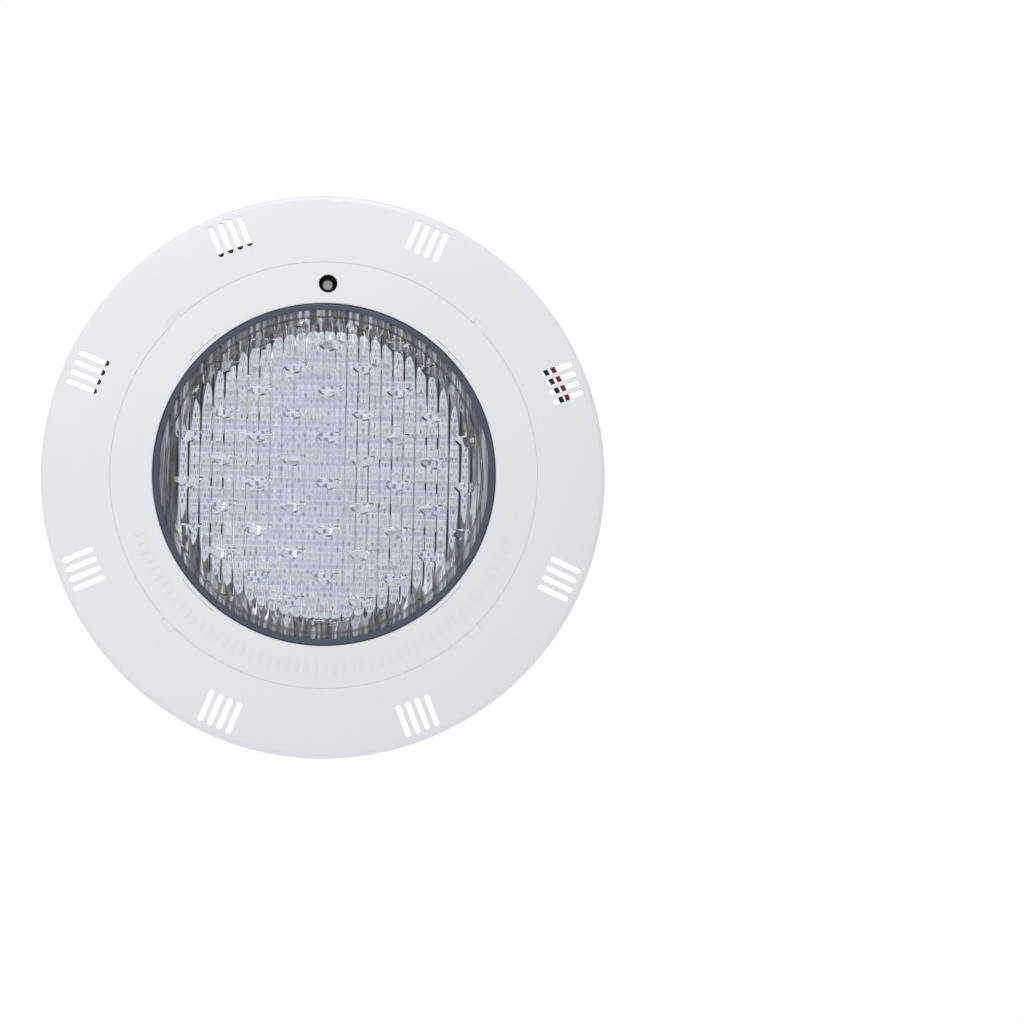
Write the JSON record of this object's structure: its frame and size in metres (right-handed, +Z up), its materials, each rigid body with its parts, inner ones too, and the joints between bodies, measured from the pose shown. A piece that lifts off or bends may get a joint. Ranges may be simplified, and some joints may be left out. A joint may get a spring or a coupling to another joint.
{
  "type": "underwater pool light",
  "caption": "Round wall-mounted underwater pool light: slotted white face ring, snap-in bezel, fluted clear lens over an LED board, wall bracket and coiled two-core cable.",
  "frame": {"origin": "centre of the four wall screws, on the wall plane at the back of the bracket", "axes": "+Z up, lens faces -Y, the wall screws point along +Y into the wall, +X to the right seen from the front"},
  "size_m": [0.3, 0.08, 0.3],
  "materials": {
    "white_abs": "satin moulded ABS",
    "clear_lens": "clear polycarbonate, fluted inside",
    "slate_rubber": "smooth slate-grey seal rubber",
    "black_abs": "matt black moulded ABS",
    "black_rubber": "black silicone",
    "stainless": "stainless steel",
    "board_white": "white solder mask on aluminium",
    "led_package": "white package with yellow window",
    "reflector_grey": "satin metallised",
    "circuit_green": "green solder mask",
    "component_black": "epoxy package",
    "component_metal": "aluminium can",
    "clear_resin": "dark potting resin",
    "gland_nylon": "black nylon",
    "cable_black": "black rubber sheath",
    "core_red": "red PVC insulation",
    "core_dark": "dark navy PVC insulation",
    "copper_wire": "bare copper"
  },
  "bodies": {
    "bracket": {"wall_bracket": "white_abs", "threaded_insert": "stainless", "wall_screws": "stainless"},
    "lamp": {"face_ring": "white_abs", "bezel_ring": "white_abs", "lens": "clear_lens", "lens_gasket": "slate_rubber", "lens_o_ring": "black_rubber", "lens_screws": "stainless", "rear_housing": "black_abs", "ring_screws": "stainless", "led_board": "board_white", "led_chips": "led_package", "board_screws": "stainless", "reflector_ring": "reflector_grey", "driver_board": "circuit_green", "driver_screws": "stainless", "bridge_rectifier": "component_black", "driver_capacitors": "component_metal", "driver_inductor": "component_black", "colour_transistors": "component_black", "receiver_module": "circuit_green", "board_connector": "gland_nylon", "gland_washer": "black_rubber", "gland_body": "gland_nylon", "gland_seal": "black_rubber", "cable_entry": "cable_black", "inner_lead_red": "core_red", "inner_lead_dark": "core_dark", "entry_potting": "clear_resin", "antenna_wire": "copper_wire", "cable": "cable_black", "cable_coil": "cable_black", "cable_tail": "cable_black", "core_red": "core_red", "core_dark": "core_dark", "cable_ties": "gland_nylon"},
    "pilot_screw": {"pilot_screw": "stainless"},
    "gland_nut": {"gland_nut": "gland_nylon"}
  },
  "joints": [
    {"name": "lamp_pull_off", "type": "slide", "parent": "bracket", "child": "lamp", "axis": [0, -1, 0], "range_m": [0, 0.06]},
    {"name": "pilot_screw_out", "type": "slide", "parent": "lamp", "child": "pilot_screw", "axis": [0, -1, 0], "range_m": [0, 0.035]},
    {"name": "gland_nut_turn", "type": "hinge", "parent": "lamp", "child": "gland_nut", "pos_m": [-0.0125, -0.0102, 0.009], "axis": [-1, 0, 0], "range_deg": [0, 720]}
  ]
}
